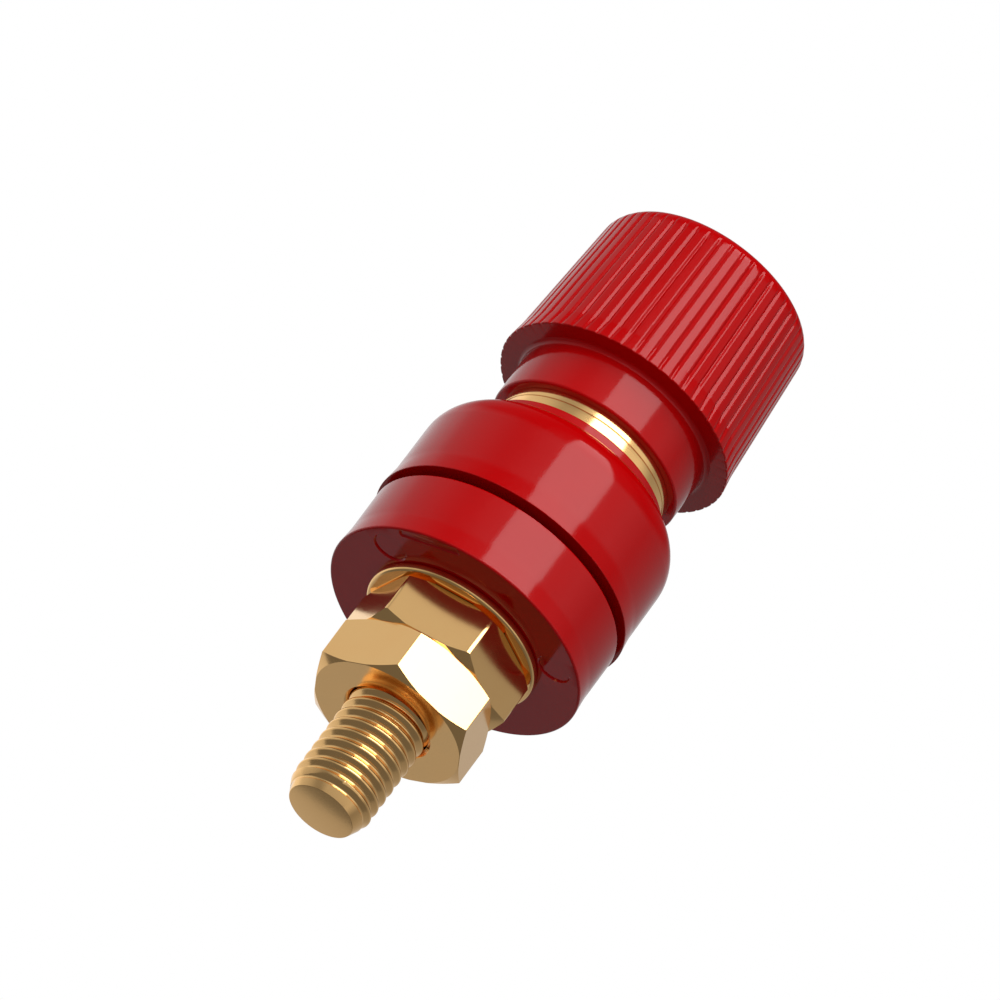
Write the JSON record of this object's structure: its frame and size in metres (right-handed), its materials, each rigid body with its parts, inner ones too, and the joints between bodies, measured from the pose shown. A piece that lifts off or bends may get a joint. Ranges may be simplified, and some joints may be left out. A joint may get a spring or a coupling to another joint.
{
  "type": "binding post",
  "caption": "Insulated panel binding post with a fluted red knob, a brass clamping collar and a threaded brass stud with locking nuts.",
  "frame": {"origin": "on the axis, in the plane of the panel's face that the upper insulator sits on", "axes": "+Z along the stud's axis, out of the panel towards the knob; -Z is the threaded end with the nuts; the spigot's flat faces +Y"},
  "size_m": [0.0256, 0.0256, 0.0655],
  "materials": {
    "red_plastic": "glossy moulded red plastic",
    "brass": "polished gold-coloured brass, turned and milled"
  },
  "bodies": {
    "post": {"stud": "brass", "upper_insulator": "red_plastic"},
    "grip": {"lower_insulator": "red_plastic", "flat_washer": "brass"},
    "inner_nut": {"inner_nut": "brass"},
    "outer_nut": {"outer_nut": "brass"},
    "knob_insert": {"knob_insert": "brass"},
    "knob": {"knob_cap": "red_plastic"}
  },
  "joints": [
    {"name": "grip_slide", "type": "slide", "parent": "post", "child": "grip", "axis": [0, 0, -1], "range_m": [0, 0.00376]},
    {"name": "inner_nut_turn", "type": "hinge", "parent": "grip", "child": "inner_nut", "pos_m": [0, 0, 0], "axis": [0, 0, -1], "range_deg": [0, 1080]},
    {"name": "outer_nut_slide", "type": "slide", "parent": "inner_nut", "child": "outer_nut", "axis": [0, 0, -1], "range_m": [0, 0.00625]},
    {"name": "knob_lift", "type": "slide", "parent": "post", "child": "knob_insert", "axis": [0, 0, 1], "range_m": [0, 0.00876]},
    {"name": "knob_turn", "type": "hinge", "parent": "knob_insert", "child": "knob", "pos_m": [0, 0, 0], "axis": [0, 0, 1], "range_deg": [0, 2520]}
  ],
  "couplings": [
    {"joint": "grip_slide", "follows": "inner_nut_turn", "m_per_rad": 0.00019894},
    {"joint": "knob_lift", "follows": "knob_turn", "m_per_rad": 0.00019894}
  ]
}
